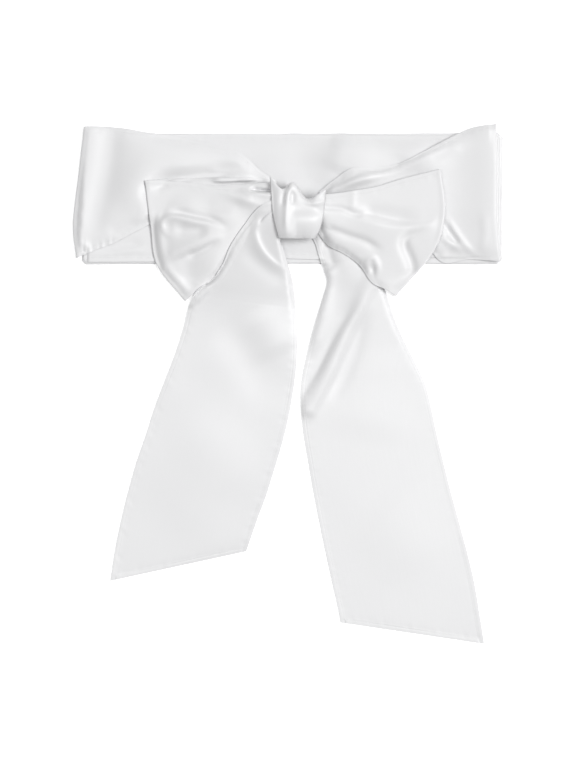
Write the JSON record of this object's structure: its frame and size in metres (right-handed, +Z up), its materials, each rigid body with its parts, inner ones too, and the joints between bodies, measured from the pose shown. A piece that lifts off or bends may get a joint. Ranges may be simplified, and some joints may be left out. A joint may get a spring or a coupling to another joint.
{
  "type": "sash",
  "caption": "Satin sash wound into a flat waist band and tied in a bow with two long slant-cut tails, laid flat face up.",
  "frame": {"origin": "on the floor under the middle of the laid-out sash's bounding box", "axes": "+X to the right as seen from above, +Y from the tail ends towards the waist band's top edge, +Z up from the floor, out of the front of the bow"},
  "size_m": [0.336, 0.405, 0.0333],
  "materials": {
    "satin": "white satin, smooth and softly glossy, with topstitched narrow hems in matching thread"
  },
  "bodies": {
    "root": {"waist_layers": "satin", "waist_panel": "satin", "front_left": "satin", "front_right": "satin", "tail_right": "satin", "loop_left": "satin", "loop_right": "satin", "tail_left": "satin", "knot": "satin"}
  },
  "joints": []
}
